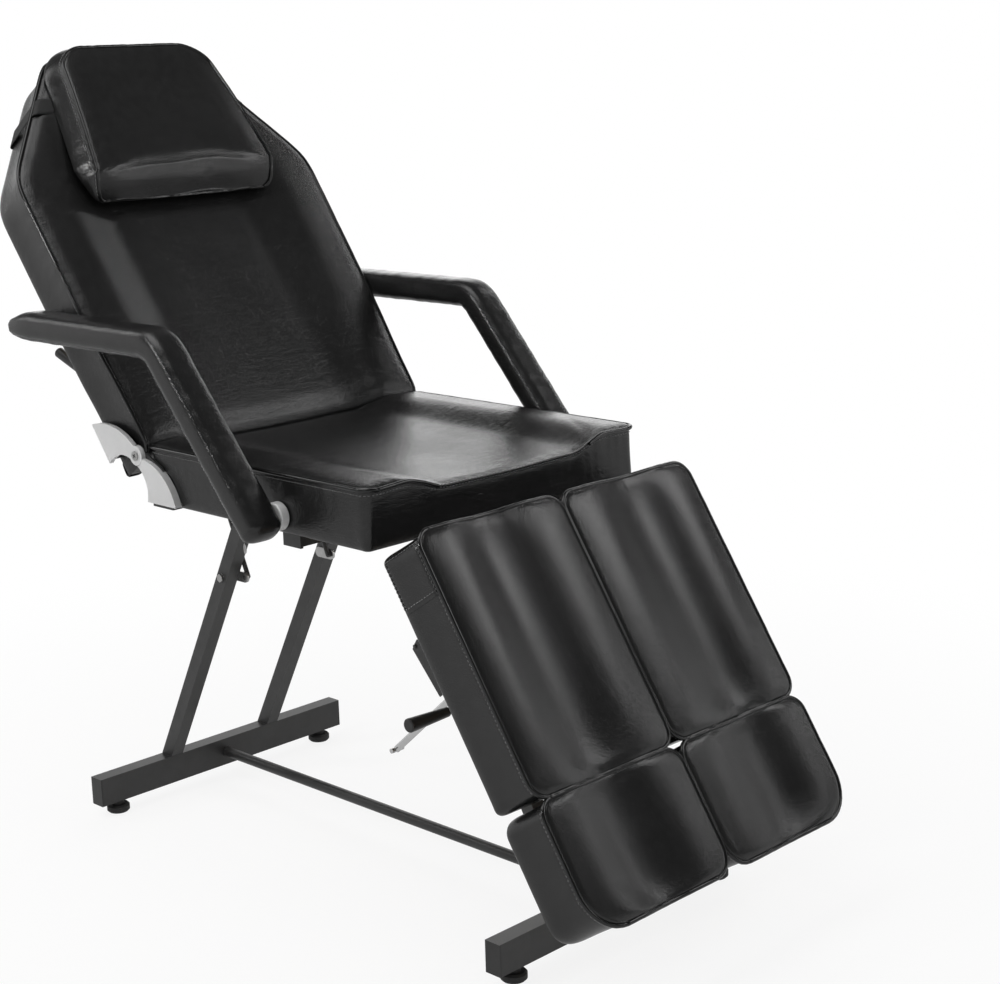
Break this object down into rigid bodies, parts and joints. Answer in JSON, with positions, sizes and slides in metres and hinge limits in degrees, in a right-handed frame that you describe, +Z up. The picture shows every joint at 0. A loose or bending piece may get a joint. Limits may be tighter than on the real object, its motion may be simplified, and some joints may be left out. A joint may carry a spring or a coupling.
{
  "type": "tattoo chair",
  "caption": "Black padded treatment chair on a folding-style steel stand, with reclining back, tilting arms, head pillow and separate lifting leg rests with sliding foot pads.",
  "frame": {"origin": "on the floor, under the middle of the whole chair as drawn", "axes": "+Z up; the sitter faces -Y, so +X is the sitter's left"},
  "size_m": [0.7356, 1.4434, 1.3166],
  "materials": {
    "black_vinyl": "semi-gloss grained",
    "powder_coated_steel": "satin powder coat",
    "silver_cover": "satin silver",
    "chrome": "polished",
    "zinc_fasteners": "zinc plated",
    "black_plastic": "moulded",
    "black_rubber": "matte",
    "plywood": "raw plywood",
    "black_elastic": "woven elastic"
  },
  "bodies": {
    "base": {"rear_floor_bar": "powder_coated_steel", "front_floor_bar": "powder_coated_steel", "floor_bar_end_caps": "black_plastic", "glide_feet": "black_rubber", "stretcher_tube": "powder_coated_steel", "stand_bolts": "zinc_fasteners", "lock_axle": "powder_coated_steel", "seat_cross_rails": "powder_coated_steel", "leg_hinge_pins": "zinc_fasteners", "seat_board": "plywood", "seat_cushion": "black_vinyl", "arm_bushes": "silver_cover", "hinge_bolts": "zinc_fasteners", "rear_leg_right": "powder_coated_steel", "rear_leg_left": "powder_coated_steel", "front_leg_right": "powder_coated_steel", "front_leg_left": "powder_coated_steel", "seat_rail_right": "powder_coated_steel", "seat_rail_left": "powder_coated_steel", "seat_hinge_plate_right": "powder_coated_steel", "seat_hinge_plate_left": "powder_coated_steel", "seat_hinge_cover_right": "silver_cover", "seat_hinge_cover_left": "silver_cover"},
    "back": {"back_board": "plywood", "back_cushion": "black_vinyl", "head_pillow": "black_vinyl", "pillow_strap": "black_elastic", "prop_rack_right": "powder_coated_steel", "prop_rack_left": "powder_coated_steel", "back_hinge_plate_right": "powder_coated_steel", "back_hinge_plate_left": "powder_coated_steel", "back_hinge_cover_right": "silver_cover", "back_hinge_cover_left": "silver_cover"},
    "back_lever": {"back_release_lever": "powder_coated_steel", "back_release_grip": "black_plastic"},
    "prop": {"back_prop": "powder_coated_steel"},
    "arm_right": {"arm_tube_right": "powder_coated_steel", "arm_pad_right": "black_vinyl"},
    "leg_right": {"leg_board_right": "plywood", "leg_cushion_right": "black_vinyl", "leg_bracket_right": "powder_coated_steel"},
    "foot_right": {"foot_board_right": "plywood", "foot_cushion_right": "black_vinyl", "foot_slide_rods_right": "chrome"},
    "lock_guide_right": {"lock_bracket_right": "powder_coated_steel"},
    "lock_rod_right": {"lock_rod_right": "chrome"},
    "lock_lever_right": {"lock_lever_right": "powder_coated_steel", "lock_grip_right": "black_plastic"},
    "arm_left": {"arm_tube_left": "powder_coated_steel", "arm_pad_left": "black_vinyl"},
    "leg_left": {"leg_board_left": "plywood", "leg_cushion_left": "black_vinyl", "leg_bracket_left": "powder_coated_steel"},
    "foot_left": {"foot_board_left": "plywood", "foot_cushion_left": "black_vinyl", "foot_slide_rods_left": "chrome"},
    "lock_guide_left": {"lock_bracket_left": "powder_coated_steel"},
    "lock_rod_left": {"lock_rod_left": "chrome"},
    "lock_lever_left": {"lock_lever_left": "powder_coated_steel", "lock_grip_left": "black_plastic"}
  },
  "joints": [
    {"name": "back_recline", "type": "hinge", "parent": "base", "child": "back", "pos_m": [0, 0.23791, 0.684], "axis": [1, 0, 0], "range_deg": [-54, 0]},
    {"name": "back_release", "type": "hinge", "parent": "back", "child": "back_lever", "pos_m": [0, 0.39678, 0.78612], "axis": [1, 0, 0], "range_deg": [0, 18], "stiffness_Nm_per_rad": 1, "springref_deg": -14.32},
    {"name": "back_prop_swing", "type": "hinge", "parent": "base", "child": "prop", "pos_m": [0, 0.24315, 0.437], "axis": [1, 0, 0], "range_deg": [-33.44, 0]},
    {"name": "arm_right_tilt", "type": "hinge", "parent": "base", "child": "arm_right", "pos_m": [0, -0.10409, 0.636], "axis": [1, 0, 0], "range_deg": [-24.26, 0]},
    {"name": "leg_right_lift", "type": "hinge", "parent": "base", "child": "leg_right", "pos_m": [0, -0.30809, 0.604], "axis": [1, 0, 0], "range_deg": [-56.85, 0]},
    {"name": "foot_right_slide", "type": "slide", "parent": "leg_right", "child": "foot_right", "axis": [0, -0.5468, -0.8372], "range_m": [0, 0.1]},
    {"name": "lock_guide_right_swing", "type": "hinge", "parent": "base", "child": "lock_guide_right", "pos_m": [0, -0.31465, 0.427], "axis": [1, 0, 0], "range_deg": [-18.15, 0]},
    {"name": "lock_rod_right_slide", "type": "slide", "parent": "lock_guide_right", "child": "lock_rod_right", "axis": [0, -0.7498, 0.6617], "range_m": [0, 0.1535]},
    {"name": "lock_lever_right_press", "type": "hinge", "parent": "lock_guide_right", "child": "lock_lever_right", "pos_m": [0, -0.23667, 0.4262], "axis": [1, 0, 0], "range_deg": [0, 7], "stiffness_Nm_per_rad": 4, "springref_deg": -11.46},
    {"name": "arm_left_tilt", "type": "hinge", "parent": "base", "child": "arm_left", "pos_m": [0, -0.10409, 0.636], "axis": [1, 0, 0], "range_deg": [-24.26, 0]},
    {"name": "leg_left_lift", "type": "hinge", "parent": "base", "child": "leg_left", "pos_m": [0, -0.30809, 0.604], "axis": [1, 0, 0], "range_deg": [-56.85, 0]},
    {"name": "foot_left_slide", "type": "slide", "parent": "leg_left", "child": "foot_left", "axis": [0, -0.5468, -0.8372], "range_m": [0, 0.1]},
    {"name": "lock_guide_left_swing", "type": "hinge", "parent": "base", "child": "lock_guide_left", "pos_m": [0, -0.31465, 0.427], "axis": [1, 0, 0], "range_deg": [-18.15, 0]},
    {"name": "lock_rod_left_slide", "type": "slide", "parent": "lock_guide_left", "child": "lock_rod_left", "axis": [0, -0.7498, 0.6617], "range_m": [0, 0.1535]},
    {"name": "lock_lever_left_press", "type": "hinge", "parent": "lock_guide_left", "child": "lock_lever_left", "pos_m": [0, -0.23667, 0.4262], "axis": [1, 0, 0], "range_deg": [0, 7], "stiffness_Nm_per_rad": 4, "springref_deg": -11.46}
  ],
  "couplings": [
    {"joint": "back_prop_swing", "follows": "back_recline", "ratio": 0.61},
    {"joint": "arm_right_tilt", "follows": "back_recline", "ratio": 0.44},
    {"joint": "lock_guide_right_swing", "follows": "leg_right_lift", "ratio": 0.3104},
    {"joint": "lock_rod_right_slide", "follows": "leg_right_lift", "m_per_rad": -0.1538},
    {"joint": "arm_left_tilt", "follows": "back_recline", "ratio": 0.44},
    {"joint": "lock_guide_left_swing", "follows": "leg_left_lift", "ratio": 0.3104},
    {"joint": "lock_rod_left_slide", "follows": "leg_left_lift", "m_per_rad": -0.1538}
  ]
}
